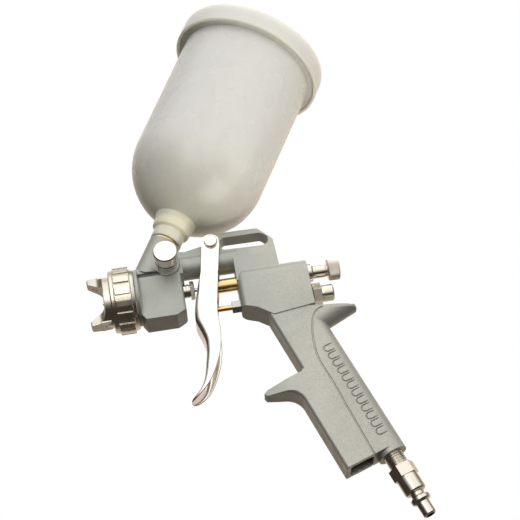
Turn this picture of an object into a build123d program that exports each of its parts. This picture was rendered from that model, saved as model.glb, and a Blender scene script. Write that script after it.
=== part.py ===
from build123d import *
import math
import os

os.makedirs("parts", exist_ok=True)

# ---------------------------------------------------------------------------
# Gravity-feed spray gun.  Frame: X runs back along the needle axis, the spray
# leaves toward -X, Z is up, Y is across.  The origin is the spray outlet at
# the centre of the air cap.  All lengths are millimetres.
# ---------------------------------------------------------------------------

# head and retaining ring
cap_r = 15.9                 # air cap outer radius
ring_r = 20.1                # retaining ring, between the grip pads
ring_pad_r = 21.2            # over the grip pads
ring_x0, ring_x1 = 5.0, 20.8
pads = 16
boss_r = 17.5                # threaded front boss of the body
head_x0, head_x1 = 22.0, 50.5
head_w = 9.0                 # half thickness of the head block
head_top, head_bot = 9.7, -20.3

# air passage tube and web
tube_r, tube_z = 8.0, 17.0
web_top = 36.6

# rear block
blk_x0, blk_x1 = 84.5, 129.5
blk_w = 9.6

# handle: local origin at the middle of the inlet boss face
han_x, han_z = 156.4, -130.5
han_tilt = 18.6              # degrees back from the vertical
han_w = 9.0                  # half thickness, and radius of the rear column
han_front_lo, han_front_up = -29.8, -21.1
han_hook_u = 58.5            # height of the finger hook above the inlet face
han_top_u = 116.0

# cup
cup_x, cup_tilt = 22.4, 29.5
cup_r_lo, cup_r_hi = 44.6, 45.8
cup_wall = 2.0
t_joint, t_sphere, t_lid0, t_lid1 = 42.0, 103.8, 192.9, 208.1
lid_r = 51.8

# needle line
needle_r = 1.2
chuck_r = 4.35
# air valve line
av_z = -16.3
stem_r = 1.7
# trigger
piv_x, piv_z, piv_r = 72.2, 27.4, 2.5
trg_out, trg_in = 10.1, 8.7  # half widths outside and inside the side plates
# fan valve
fan_x, fan_z = 42.6, 16.0

fit = 0.05                   # radial clearance of running fits

hs, hc = math.sin(math.radians(han_tilt)), math.cos(math.radians(han_tilt))
cs, cc = math.sin(math.radians(cup_tilt)), math.cos(math.radians(cup_tilt))

AX = Axis((0, 0, 0), (1, 0, 0))
AV = Axis((0, 0, av_z), (1, 0, 0))
CUP_PLANE = Plane(origin=(cup_x, 0, 0), x_dir=(cc, 0, -cs), z_dir=(0, -1, 0))
CUP_AXIS = Axis((cup_x, 0, 0), (cs, 0, cc))
HAN_PLANE = Plane(origin=(han_x, 0, han_z), x_dir=(hc, 0, hs), z_dir=(0, -1, 0))
HAN_AXIS = Axis((han_x, 0, han_z), (-hs, 0, hc))
FAN_PLANE = Plane(origin=(fan_x, 0, fan_z), x_dir=(1, 0, 0), z_dir=(0, 0, -1))
FAN_AXIS = Axis((fan_x, 0, fan_z), (0, -1, 0))
PIV_PLANE = Plane(origin=(piv_x, 0, piv_z), x_dir=(1, 0, 0), z_dir=(0, 0, -1))
PIV_AXIS = Axis((piv_x, 0, piv_z), (0, -1, 0))


def across(x):
    """Plane square to the needle axis at x; local x is Y, local y is Z."""
    return Plane(origin=(x, 0, 0), x_dir=(0, 1, 0), z_dir=(1, 0, 0))


def up_cup(t):
    """Plane square to the cup axis at height t."""
    return Plane(origin=(cup_x + t * cs, 0, t * cc), x_dir=(cc, 0, -cs), z_dir=(cs, 0, cc))


def up_handle(u):
    """Plane square to the handle axis at height u above the inlet face."""
    return Plane(origin=(han_x - u * hs, 0, han_z + u * hc), x_dir=(hc, 0, hs), z_dir=(-hs, 0, hc))


def hxz(q, u):
    """Handle coordinates (back, up) to gun X, Z."""
    return (han_x + q * hc - u * hs, han_z + q * hs + u * hc)


# ---------------------------------------------------------------------------
# body casting, made of simple forms
# ---------------------------------------------------------------------------
with BuildPart() as head_form:
    with BuildSketch(Plane.XZ):
        with BuildLine():
            Polyline((head_x0, head_top), (head_x1, head_top), (head_x1, -17.0), (44.4, head_bot),
                     (25.3, head_bot), (head_x0, -15.5), close=True)
        make_face()
    extrude(amount=head_w, both=True)
    fillet(head_form.edges().filter_by(Axis.Z), 2.2)

with BuildPart() as ridge_form:
    with BuildSketch(Plane.XZ):
        with BuildLine():
            Polyline((21.3, 9.0), (52.0, 9.0), (52.0, 17.6), (21.3, 17.6), close=True)
        make_face()
    extrude(amount=8.3, both=True)
    fillet(ridge_form.edges().filter_by(Axis.X).group_by(Axis.Z)[-1], 3.0)

with BuildPart() as web_form:
    with BuildSketch(across(50.0)):
        with BuildLine():
            Polyline((-8.0, -2.0), (8.0, -2.0), (8.0, 15.0), (4.4, web_top + 0.5), (-4.4, web_top + 0.5),
                     (-8.0, 15.0), close=True)
        make_face()
    extrude(amount=64.0)
    with BuildSketch(Plane.XZ):
        with BuildLine():
            l1 = Polyline((50.0, 17.0), (50.0, 24.0), (66.0, 27.6), (71.5, web_top), (103.2, 36.0),
                          (111.8, 25.8), (112.4, 4.0), (112.4, -2.0), (84.5, -2.0), (84.5, 17.0), close=True)
        make_face()
    extrude(amount=20, both=True, mode=Mode.INTERSECT)
    fillet(web_form.edges().filter_by(Axis.Y).filter_by(lambda e: e.center().Z > 24.5 and e.center().X > 70), 3.0)

with BuildPart() as block_form:
    with BuildSketch(across(blk_x0)):
        with Locations((0, -1.2)):
            Circle(blk_w)
        with Locations((0, -18.2)):
            Rectangle(2 * blk_w, 34.0)
    extrude(amount=blk_x1 - blk_x0)
    with BuildSketch(Plane.XZ):
        with BuildLine():
            Polyline((blk_x0, 12.0), (blk_x1, 12.0), (blk_x1, -27.0), (103.2, -30.4), (94.2, -24.0),
                     (blk_x0, -20.6), close=True)
        make_face()
    extrude(amount=20, both=True, mode=Mode.INTERSECT)
    fillet(block_form.edges().filter_by(Axis.Z).group_by(Axis.X)[0], 4.5)

# grip: flat sides, soft front edges, finger hook part way down; round rear column for the air
hook_root = (114.1, -71.05)
hook_in = (108.7, -82.3)
with BuildPart() as grip_form:
    with BuildSketch(Plane.XZ):
        with BuildLine():
            upper = FilletPolyline(hxz(han_front_up, 114.5), hook_root, (90.4, -78.6), radius=2.4)
            tip = Polyline(upper @ 1, (88.5, -80.4), (89.9, -82.3))
            lower = FilletPolyline(tip @ 1, hook_in, hxz(han_front_lo, 3.0), radius=12.0)
            Polyline(lower @ 1, hxz(0, 3.0), hxz(0, 114.5), upper @ 0)
        make_face()
    extrude(amount=han_w, both=True)
    fillet(grip_form.edges().filter_by(lambda e: abs(abs(e.center().Y) - han_w) < 0.01 and e.length > 3.0
                                       and (e.center().X - han_x) * hc + (e.center().Z - han_z) * hs < -17.0
                                       and e.center().Z < -80.6), 2.0)
    # the same soft edge up the front, above the hook
    for sgn in (-1, 1):
        with BuildSketch(up_handle(70.9)):
            with Locations((han_front_up + 0.8, sgn * (han_w - 0.8))):
                Rectangle(2.4, 2.4)
            with Locations((han_front_up + 2.0, sgn * (han_w - 2.0))):
                Circle(2.0, mode=Mode.SUBTRACT)
        extrude(amount=50.0, mode=Mode.SUBTRACT)
    # the hook narrows toward its tip
    for sgn in (-1, 1):
        with BuildSketch(Plane.XY.offset(-86.5)) as plan:
            with BuildLine():
                side = Spline((112.5, sgn * 9.02), (106.0, sgn * 8.7), (97.0, sgn * 6.5), (90.2, sgn * 4.5),
                              (87.0, sgn * 3.2), tangents=((-1, 0), (-0.85, -sgn * 0.5)))
                Polyline(side @ 1, (86.0, sgn * 3.0), (86.0, sgn * 12.0), (112.5, sgn * 12.0), side @ 0)
            make_face()
        extrude(amount=17.5, mode=Mode.SUBTRACT)

# horn that rests on the web of the hand; its underside is half round, like the column it runs into
tg_w = han_w - 0.06          # the horn runs just inside the skin of the grip and the column
tg_root = hxz(han_w, 91.4)   # where the line under the horn meets the column's rear line
tg_dir = (0.9043, 0.4269)    # toward the tip


def tg_at(t):
    """Point on the line under the horn."""
    return (tg_root[0] + t * tg_dir[0], tg_root[1] + t * tg_dir[1])


with BuildPart() as tang_form:
    with BuildSketch(Plane.XZ):
        with BuildLine():
            tg_top = Spline((118.0, -26.2), (129.5, -28.2), (135.0, -28.9), (141.0, -29.2), (147.0, -29.3), (152.2, -29.8))
            tg_tip = ThreePointArc(tg_top @ 1, (155.2, -31.1), tg_at(20.0))
            Polyline(tg_tip @ 1, tg_at(-12.0), (118.0, -45.0), tg_top @ 0)
        make_face()
    extrude(amount=tg_w, both=True)
    with BuildSketch(Plane.XY.offset(-58.0)):
        with BuildLine():
            tg_plan = Spline((130.0, -9.5), (141.0, -8.6), (148.0, -7.2), (153.3, -4.7), (155.4, 0), (153.3, 4.7),
                             (148.0, 7.2), (141.0, 8.6), (130.0, 9.5), tangents=((1, 0.04), (-1, 0.04)))
            Polyline(tg_plan @ 1, (110.0, 9.5), (110.0, -9.5), tg_plan @ 0)
        make_face()
    extrude(amount=45.0, mode=Mode.INTERSECT)
    for sgn in (-1, 1):
        with BuildSketch(Plane(origin=(tg_at(-14.0)[0], 0, tg_at(-14.0)[1]), x_dir=(-tg_dir[1], 0, tg_dir[0]),
                               z_dir=(-tg_dir[0], 0, -tg_dir[1]))):
            with BuildLine():
                turn = RadiusArc((0, 0), (tg_w, sgn * tg_w), sgn * tg_w)
                Polyline(turn @ 1, (tg_w, sgn * 10.5), (-1.0, sgn * 10.5), (-1.0, 0), turn @ 0)
            make_face()
        extrude(amount=-40.0, mode=Mode.SUBTRACT)

with BuildPart() as column_form:
    with BuildSketch(up_handle(0)):
        Circle(han_w)
    extrude(amount=100.0)

# grooves along both sides of the handle, on a smooth line
with BuildPart() as groove_form:
    with BuildSketch(Plane.XZ):
        with BuildLine():
            ga = Spline((133.5, -29.7), (128.4, -32.4), (124.7, -40.3), (123.2, -52.0), (123.9, -64.8),
                        (127.9, -77.2), (133.0, -94.2), (139.2, -115.0), (145.4, -136.0))
            gb = Spline((133.5, -30.7), (129.2, -33.3), (125.7, -40.4), (124.2, -52.0), (124.9, -64.7),
                        (128.9, -77.0), (134.0, -94.0), (140.2, -114.8), (146.4, -135.8))
            Line(ga @ 0, gb @ 0)
            Line(ga @ 1, gb @ 1)
        make_face()
    extrude(amount=20.0, both=True)
    with BuildSketch(Plane.XZ):
        Rectangle(400, 400)
    extrude(amount=han_w - 0.7, both=True, mode=Mode.SUBTRACT)

# twelve engraved U marks on each side; they run out toward the rear, round the column
with BuildPart() as marks_form:
    with BuildSketch(HAN_PLANE):
        for i in range(12):
            with Locations((2.9, 75.6 - i * 5.62)):
                SlotOverall(13.8, 4.9)
                SlotOverall(12.3, 3.4, mode=Mode.SUBTRACT)
    extrude(amount=20.0, both=True)
    with BuildSketch(HAN_PLANE):
        Rectangle(600, 600)
    extrude(amount=han_w - 0.7, both=True, mode=Mode.SUBTRACT)

with BuildPart() as gun_body:
    add(head_form.part)
    add(ridge_form.part)
    add(web_form.part)
    add(block_form.part)
    add(grip_form.part)
    add(column_form.part)
    add(tang_form.part)
    # front boss, threaded outside for the retaining ring
    with BuildSketch(across(10.0)):
        Circle(boss_r)
    extrude(amount=head_x0 - 10.0 + 1.0)
    # air passage tube
    with BuildSketch(across(36.0)):
        with Locations((0, tube_z)):
            Circle(tube_r)
    extrude(amount=52.0)
    # cup boss
    with BuildSketch(up_cup(14.0)):
        Circle(10.0)
    extrude(amount=t_joint - 14.0)
    # gusset behind the cup boss
    with BuildSketch(Plane.XZ):
        with BuildLine():
            Polyline((36.0, 18.0), (54.5, 18.0), (54.5, 26.0), (49.0, 27.0), (46.5, 32.0), (38.0, 30.0), close=True)
        make_face()
    extrude(amount=5.0, both=True)
    # fan valve boss on the near side
    with BuildSketch(FAN_PLANE):
        with BuildLine():
            Polyline((0, 0), (8.2, 0), (8.2, 9.6), (7.7, 10.1), (0, 10.1), close=True)
        make_face()
    revolve(axis=FAN_AXIS)
    # trigger pivot bosses
    with BuildSketch(PIV_PLANE):
        with BuildLine():
            Polyline((0, -8.4), (5.4, -8.4), (5.4, 8.4), (0, 8.4), close=True)
        make_face()
    revolve(axis=PIV_AXIS)

    # groove between the head block and the ridge, both sides
    for sgn in (-1, 1):
        with BuildSketch(Plane.XZ.offset(sgn * 10.0)):
            with Locations((30.0, 11.1)):
                Rectangle(18.0, 2.8)
        extrude(amount=-sgn * 3.1, mode=Mode.SUBTRACT)
    # annular air chamber in the front boss
    with BuildSketch(Plane.XZ):
        with BuildLine():
            Polyline((9.0, 8.5), (15.5, 8.5), (15.5, 15.3), (9.0, 15.3), close=True)
        make_face()
    revolve(axis=AX, mode=Mode.SUBTRACT)
    # stepped bore on the needle axis through the head
    with BuildSketch(Plane.XZ):
        with BuildLine():
            Polyline((9.0, 0), (9.0, 4.5), (18.2, 4.5), (18.2, 3.6), (37.0, 3.6), (38.5, 1.5), (43.5, 1.5),
                     (43.5, 3.5), (51.0, 3.5), (51.0, 0), close=True)
        make_face()
    revolve(axis=AX, mode=Mode.SUBTRACT)
    # paint way down from the cup
    with BuildSketch(up_cup(0.0)):
        Circle(3.5)
    extrude(amount=t_joint + 1, mode=Mode.SUBTRACT)
    with BuildSketch(up_cup(t_joint - 10.0)):
        Circle(6.0)
    extrude(amount=11.0, mode=Mode.SUBTRACT)
    # fan valve bore and its two air ways to the front chamber
    with BuildSketch(FAN_PLANE):
        with BuildLine():
            Polyline((0, -5.0), (2.6, -5.0), (2.6, 1.5), (4.05, 1.5), (4.05, 10.5), (0, 10.5), close=True)
        make_face()
    revolve(axis=FAN_AXIS, mode=Mode.SUBTRACT)
    with BuildSketch(across(14.5)):
        with Locations((6.7, 12.2), (-6.7, 12.2)):
            Circle(1.3)
    extrude(amount=27.0, mode=Mode.SUBTRACT)
    with BuildSketch(across(43.0)):
        with Locations((0, tube_z)):
            Circle(3.2)
    extrude(amount=40.0, mode=Mode.SUBTRACT)
    # needle sleeve bore and spring chamber in the rear block
    with BuildSketch(Plane.XZ):
        with BuildLine():
            Polyline((84.0, 0), (84.0, chuck_r + fit), (92.0, chuck_r + fit), (92.0, 5.5), (130.0, 5.5),
                     (130.0, 0), close=True)
        make_face()
    revolve(axis=AX, mode=Mode.SUBTRACT)
    # air valve chamber
    with BuildSketch(Plane.XZ):
        with BuildLine():
            Polyline((84.0, av_z), (84.0, av_z + 3.1), (95.0, av_z + 3.1), (95.0, av_z + 5.6),
                     (130.0, av_z + 5.6), (130.0, av_z), close=True)
        make_face()
    revolve(axis=AV, mode=Mode.SUBTRACT)
    # air way up the handle column, threaded mouth
    with BuildSketch(up_handle(14.0)):
        Circle(4.0)
    extrude(amount=106.5, mode=Mode.SUBTRACT)
    with BuildSketch(up_handle(-1.0)):
        Circle(6.05)
    extrude(amount=15.5, mode=Mode.SUBTRACT)
    # hollow in the foot of the grip
    with BuildSketch(up_handle(2.0)) as hsk:
        with Locations((-19.2, 0)):
            RectangleRounded(15.6, 12.8, 2.6)
    extrude(amount=42.0, taper=1.0, mode=Mode.SUBTRACT)
    # pivot bore
    with BuildSketch(PIV_PLANE):
        with BuildLine():
            Polyline((0, -9), (piv_r + 0.02, -9), (piv_r + 0.02, 9), (0, 9), close=True)
        make_face()
    revolve(axis=PIV_AXIS, mode=Mode.SUBTRACT)
    # hanging slot through the web
    with BuildSketch(Plane.XZ) as ssk:
        with BuildLine():
            Polyline((78.4, 22.3), (105.0, 21.2), (108.9, 24.0), (108.6, 28.6), (104.6, 32.0), (80.4, 32.2),
                     (78.3, 29.8), close=True)
        make_face()
        fillet(ssk.vertices(), 2.4)
    extrude(amount=10.0, both=True, mode=Mode.SUBTRACT)
    add(groove_form.part, mode=Mode.SUBTRACT)
    add(marks_form.part, mode=Mode.SUBTRACT)
gun_body.part.label = "gun_body"

# ---------------------------------------------------------------------------
# spray head
# ---------------------------------------------------------------------------
with BuildPart() as fluid_nozzle:
    with BuildSketch(Plane.XZ):
        with BuildLine():
            Polyline((-0.4, 0.75), (-0.4, 1.45), (0.8, 1.5), (6.2, 3.6), (6.2, 5.6), (6.7, 6.3), (8.6, 6.3),
                     (8.6, 4.4), (18.0, 4.4), (18.0, 2.6), (7.0, 2.6), (4.8, 2.0), (0.6, 0.75), close=True)
        make_face()
    revolve(axis=AX)
    with BuildSketch(across(6.3)):
        RegularPolygon(5.9, 6, major_radius=True)
        Circle(4.3, mode=Mode.SUBTRACT)
    extrude(amount=1.0)
fluid_nozzle.part.label = "fluid_nozzle"

with BuildPart() as air_baffle:
    with BuildSketch(across(8.75)):
        Circle(16.6)
        Circle(4.5, mode=Mode.SUBTRACT)
        with PolarLocations(11.6, 10):
            Circle(1.5, mode=Mode.SUBTRACT)
    extrude(amount=1.15)
air_baffle.part.label = "air_baffle"

with BuildPart() as air_cap:
    with BuildSketch(Plane.XZ):
        with BuildLine():
            Polyline((-3.0, 1.95), (-3.0, 15.6), (-2.5, 16.1), (6.8, 16.1), (6.8, 17.2), (8.4, 17.2),
                     (8.4, 14.4), (6.4, 13.6), (3.6, 8.0), (2.0, 4.6), (1.6, 1.95), close=True)
        make_face()
    revolve(axis=AX)
    # two horns
    for sgn in (1, -1):
        with BuildSketch(Plane.XZ):
            with BuildLine():
                Polyline((3.6, sgn * 15.8), (-2.6, sgn * 16.5), (-8.6, sgn * 16.7), (-9.2, sgn * 16.1),
                         (-9.2, sgn * 13.0), (0.3, sgn * 7.6), (2.6, sgn * 8.4), (4.6, sgn * 12.4), close=True)
            make_face()
        extrude(amount=5.2, both=True)
    # valley between the horns, cut right across
    with BuildSketch(Plane.XZ):
        with BuildLine():
            Polyline((-12.0, 15.2), (-9.2, 13.6), (-0.3, 8.5), (0.3, 7.7), (0.3, -7.7), (-0.3, -8.5), (-9.2, -13.6),
                     (-12.0, -15.2), close=True)
        make_face()
    extrude(amount=20.0, both=True, mode=Mode.SUBTRACT)
    # flats on the horns, running out in a curve into the round of the cap
    with BuildSketch(Plane.XY.offset(-20)):
        with BuildLine():
            w0 = Polyline((-9.4, 3.0), (-8.4, 3.6), (-4.0, 4.5))
            w1 = Spline(w0 @ 1, (-1.9, 5.4), (-0.2, 7.6), (0.8, 11.2), (1.2, 17.0))
            Polyline(w1 @ 1, (9.0, 20.0), (9.0, -20.0), (1.2, -17.0))
            w2 = Spline((1.2, -17.0), (0.8, -11.2), (-0.2, -7.6), (-1.9, -5.4), (-4.0, -4.5))
            Polyline(w2 @ 1, (-8.4, -3.6), (-9.4, -3.0), (-9.4, 3.0))
        make_face()
    extrude(amount=40, mode=Mode.INTERSECT)
    # fan jets drilled in toward the axis, and small holes round the outlet
    for sgn in (1, -1):
        for x0, ang in ((-6.4, 52.0), (-3.2, 60.0)):
            with BuildSketch(Plane(origin=(x0, 0, sgn * 11.0), x_dir=(0, 1, 0),
                                   z_dir=(math.cos(math.radians(ang)), 0, sgn * math.sin(math.radians(ang))))):
                Circle(0.55)
            extrude(amount=6.6, both=True, mode=Mode.SUBTRACT)
    with BuildSketch(across(-0.2)):
        with PolarLocations(4.4, 4, start_angle=45):
            Circle(0.5)
    extrude(amount=3.2, mode=Mode.SUBTRACT)
air_cap.part.label = "air_cap"

with BuildPart() as retaining_ring:
    with BuildSketch(Plane.XZ):
        with BuildLine():
            Polyline((ring_x0, 16.25), (ring_x0, 18.9), (5.6, 19.6), (7.4, 19.8), (7.8, ring_r), (18.0, ring_r),
                     (18.4, 19.7), (20.2, 19.2), (ring_x1, 18.6), (ring_x1, boss_r + fit), (6.45, boss_r + fit),
                     (6.45, 16.25), close=True)
        make_face()
    revolve(axis=AX)
    with BuildSketch(across(8.1)):
        with PolarLocations((ring_r + ring_pad_r) / 2 - 0.3, pads, start_angle=90 + 180 / pads):
            Rectangle(ring_pad_r - ring_r + 0.6, 4.7)
    extrude(amount=9.6)
    with BuildSketch(Plane.XZ):
        with BuildLine():
            Polyline((4, 10), (21, 10), (21, 20.4), (18.0, ring_pad_r - 0.2), (17.4, ring_pad_r + 0.05),
                     (8.4, ring_pad_r + 0.05), (7.8, ring_pad_r - 0.6), (4, 20.0), close=True)
        make_face()
    revolve(axis=AX, mode=Mode.INTERSECT)
retaining_ring.part.label = "retaining_ring"

# ---------------------------------------------------------------------------
# needle line
# ---------------------------------------------------------------------------
with BuildPart() as fluid_needle:
    with BuildSketch(Plane.XZ):
        with BuildLine():
            Polyline((-0.9, 0), (-0.9, 0.2), (3.0, needle_r), (106.5, needle_r), (107.0, 0.8), (107.0, 0), close=True)
        make_face()
    revolve(axis=AX)
fluid_needle.part.label = "fluid_needle"

with BuildPart() as needle_packing:
    with BuildSketch(Plane.XZ):
        with BuildLine():
            Polyline((43.6, needle_r + fit), (44.4, 3.45), (47.9, 3.45), (47.9, needle_r + fit), close=True)
        make_face()
    revolve(axis=AX)
needle_packing.part.label = "needle_packing"

with BuildPart() as needle_packing_nut:
    with BuildSketch(Plane.XZ):
        with BuildLine():
            Polyline((48.0, needle_r + fit), (48.0, 3.45), (50.55, 3.45), (50.55, 4.3), (52.0, 4.3), (52.0, 3.9),
                     (52.5, 3.9), (52.5, 4.3), (54.0, 4.3), (54.0, 3.9), (54.8, 3.9), (54.8, needle_r + fit),
                     close=True)
        make_face()
    revolve(axis=AX)
    with BuildSketch(across(54.8)):
        RegularPolygon(5.9, 6, major_radius=True)
        Circle(needle_r + fit, mode=Mode.SUBTRACT)
    extrude(amount=2.6)
    chamfer(needle_packing_nut.edges().group_by(Axis.X)[-1].filter_by(GeomType.LINE), 0.5)
needle_packing_nut.part.label = "needle_packing_nut"

with BuildPart() as needle_sleeve:
    with BuildSketch(Plane.XZ):
        with BuildLine():
            Polyline((63.7, needle_r + 0.01), (63.7, chuck_r - 0.6), (64.3, chuck_r), (96.0, chuck_r), (96.0, 5.4),
                     (98.0, 5.4), (98.0, 2.6), (100.5, 2.6), (100.5, needle_r + 0.01), close=True)
        make_face()
    revolve(axis=AX)
needle_sleeve.part.label = "needle_sleeve"

with BuildPart() as needle_lock_nut:
    with BuildSketch(across(100.6)):
        RegularPolygon(3.0, 6, major_radius=True)
        Circle(needle_r + 0.01, mode=Mode.SUBTRACT)
    extrude(amount=2.4)
needle_lock_nut.part.label = "needle_lock_nut"


def coil(x0, x1, z0, radius, wire, turns):
    """Open coil spring along X, from x0 to x1."""
    path = Helix(pitch=(x1 - x0 - wire) / turns, height=x1 - x0 - wire, radius=radius,
                 center=(x0 + wire / 2, 0, z0), direction=(1, 0, 0))
    sec = Plane(origin=path @ 0, z_dir=path % 0)
    return sweep(sec * Circle(wire / 2), path=path, is_frenet=True)


needle_coil = coil(98.3, 113.1, 0, 4.3, 0.9, 6.5)
with BuildPart() as needle_spring:
    add(needle_coil)
needle_spring.part.label = "needle_spring"

with BuildPart() as needle_spring_seat:
    with BuildSketch(Plane.XZ):
        with BuildLine():
            Polyline((113.3, 2.2), (113.3, 5.2), (113.6, 5.4), (116.0, 5.4), (116.3, 5.2), (116.3, 0), (115.0, 0),
                     (115.0, 2.2), close=True)
        make_face()
    revolve(axis=AX)
needle_spring_seat.part.label = "needle_spring_seat"

with BuildPart() as needle_guide_bush:
    with BuildSketch(Plane.XZ):
        with BuildLine():
            Polyline((120.0, 3.45), (120.0, 5.45), (129.5, 5.45), (129.5, 6.0), (132.2, 6.0), (132.8, 5.4),
                     (132.8, 3.45), close=True)
        make_face()
    revolve(axis=AX)
needle_guide_bush.part.label = "needle_guide_bush"

with BuildPart() as fluid_knob:
    with BuildSketch(Plane.XZ):
        with BuildLine():
            Polyline((116.35, 0), (116.35, 2.9), (116.9, 3.4), (133.2, 3.4), (133.2, 4.3), (142.6, 4.3),
                     (142.6, 6.4), (143.2, 6.9), (149.6, 6.9), (150.2, 6.3), (150.2, 0), close=True)
        make_face()
    revolve(axis=AX)
    # straight knurl on the head
    with BuildSketch(across(142.0)):
        with PolarLocations(6.95, 28):
            Rectangle(0.7, 0.7, rotation=45)
    extrude(amount=9.0, mode=Mode.SUBTRACT)
fluid_knob.part.label = "fluid_knob"

# ---------------------------------------------------------------------------
# air valve line
# ---------------------------------------------------------------------------
with BuildPart() as air_valve_gland:
    with BuildSketch(across(78.9)):
        with Locations((0, av_z)):
            RegularPolygon(4.3, 6, major_radius=True, rotation=30)
            Circle(stem_r + fit, mode=Mode.SUBTRACT)
    extrude(amount=5.55)
    with BuildSketch(across(84.45)):
        with Locations((0, av_z)):
            Circle(3.05)
            Circle(stem_r + fit, mode=Mode.SUBTRACT)
    extrude(amount=5.3)
air_valve_gland.part.label = "air_valve_gland"

with BuildPart() as air_valve_packing:
    with BuildSketch(across(89.9)):
        with Locations((0, av_z)):
            Circle(3.05)
            Circle(stem_r + fit, mode=Mode.SUBTRACT)
    extrude(amount=3.0)
air_valve_packing.part.label = "air_valve_packing"

with BuildPart() as air_valve_stem:
    with BuildSketch(Plane.XZ):
        with BuildLine():
            Polyline((58.2, av_z), (58.2, av_z + 0.8), (59.0, av_z + stem_r), (102.6, av_z + stem_r),
                     (102.6, av_z + 1.2), (105.0, av_z + 1.2), (105.0, av_z), close=True)
        make_face()
    revolve(axis=AV)
air_valve_stem.part.label = "air_valve_stem"

with BuildPart() as air_valve_seat:
    with BuildSketch(Plane.XZ):
        with BuildLine():
            Polyline((95.1, av_z + 2.7), (95.1, av_z + 5.55), (98.4, av_z + 5.55), (98.4, av_z + 3.6),
                     (99.0, av_z + 3.2), (99.0, av_z + 2.7), close=True)
        make_face()
    revolve(axis=AV)
air_valve_seat.part.label = "air_valve_seat"

with BuildPart() as air_valve_poppet:
    with BuildSketch(Plane.XZ):
        with BuildLine():
            Polyline((99.1, av_z + stem_r + 0.01), (99.1, av_z + 4.3), (100.6, av_z + 4.3), (100.6, av_z + 4.6),
                     (102.4, av_z + 4.6), (102.4, av_z + stem_r + 0.01), close=True)
        make_face()
    revolve(axis=AV)
air_valve_poppet.part.label = "air_valve_poppet"

valve_coil = coil(102.7, 121.6, av_z, 3.5, 0.8, 7.5)
with BuildPart() as air_valve_spring:
    add(valve_coil)
air_valve_spring.part.label = "air_valve_spring"

with BuildPart() as air_valve_cap_gasket:
    with BuildSketch(across(129.55)):
        with Locations((0, av_z)):
            Circle(6.5)
            Circle(5.65, mode=Mode.SUBTRACT)
    extrude(amount=0.8)
air_valve_cap_gasket.part.label = "air_valve_cap_gasket"

with BuildPart() as air_valve_cap:
    with BuildSketch(Plane.XZ):
        with BuildLine():
            Polyline((121.8, av_z), (121.8, av_z + 5.55), (130.4, av_z + 5.55), (136.0, av_z + 5.55),
                     (136.0, av_z + 5.2), (137.0, av_z + 5.4), (142.6, av_z + 5.4), (143.4, av_z + 4.6),
                     (143.4, av_z + 2.2), (141.8, av_z + 2.2), (141.8, av_z), close=True)
        make_face()
    revolve(axis=AV)
    with BuildSketch(across(130.4)):
        with Locations((0, av_z)):
            RegularPolygon(7.3, 6, major_radius=True)
    extrude(amount=5.2)
air_valve_cap.part.label = "air_valve_cap"

# ---------------------------------------------------------------------------
# fan width valve, axis across the gun on the near side
# ---------------------------------------------------------------------------
with BuildPart() as fan_valve_housing:
    with BuildSketch(FAN_PLANE):
        with BuildLine():
            Polyline((2.05, 3.2), (4.0, 3.2), (4.0, 10.15), (7.2, 10.15), (7.2, 10.9), (6.7, 11.2), (7.1, 11.5),
                     (7.1, 12.4), (6.7, 12.7), (7.1, 13.0), (7.1, 13.9), (6.7, 14.2), (7.1, 14.5), (7.1, 15.6),
                     (6.3, 16.4), (2.05, 16.4), (2.05, 9.0), (3.0, 9.0), (3.0, 4.4), (2.05, 4.4), close=True)
        make_face()
    revolve(axis=FAN_AXIS)
fan_valve_housing.part.label = "fan_valve_housing"

with BuildPart() as fan_stem:
    with BuildSketch(FAN_PLANE):
        with BuildLine():
            Polyline((0, -4.0), (0.6, -4.0), (2.0, 1.0), (2.0, 19.0), (0, 19.0), close=True)
        make_face()
    revolve(axis=FAN_AXIS)
fan_stem.part.label = "fan_stem"

with BuildPart() as fan_stem_seal:
    with BuildSketch(FAN_PLANE):
        with Locations((2.52, 5.2)):
            Circle(0.44)
    revolve(axis=FAN_AXIS)
fan_stem_seal.part.label = "fan_stem_seal"

with BuildPart() as fan_knob:
    with BuildSketch(FAN_PLANE):
        with BuildLine():
            Polyline((2.01, 16.8), (6.6, 16.8), (7.0, 17.2), (7.2, 22.6), (7.7, 23.0), (7.7, 25.7), (7.0, 26.4),
                     (0, 26.4), (0, 19.1), (2.01, 19.1), close=True)
        make_face()
    revolve(axis=FAN_AXIS)
    with BuildSketch(Plane(origin=(fan_x, -16.0, fan_z), x_dir=(1, 0, 0), z_dir=(0, -1, 0))):
        with PolarLocations(7.45, 32):
            Rectangle(0.6, 0.6, rotation=45)
    extrude(amount=6.6, mode=Mode.SUBTRACT)
fan_knob.part.label = "fan_knob"

# ---------------------------------------------------------------------------
# trigger on its pivot
# ---------------------------------------------------------------------------
front_pts = [(62.9, 7.2), (60.0, -1.0), (57.2, -10.7), (55.3, -19.1), (55.0, -26.2), (57.0, -33.2), (58.7, -40.5),
             (58.4, -48.0), (57.0, -55.5), (55.5, -62.5), (53.6, -68.0), (50.6, -72.4), (45.4, -76.0)]
inner_pts = [(64.4, 7.2), (61.5, -1.3), (58.7, -11.0), (56.8, -19.2), (56.6, -26.0), (58.5, -32.8), (60.2, -40.4),
             (59.9, -48.3), (58.5, -55.9), (57.0, -63.0), (55.1, -68.8), (52.0, -73.4), (48.8, -76.7)]


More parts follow.
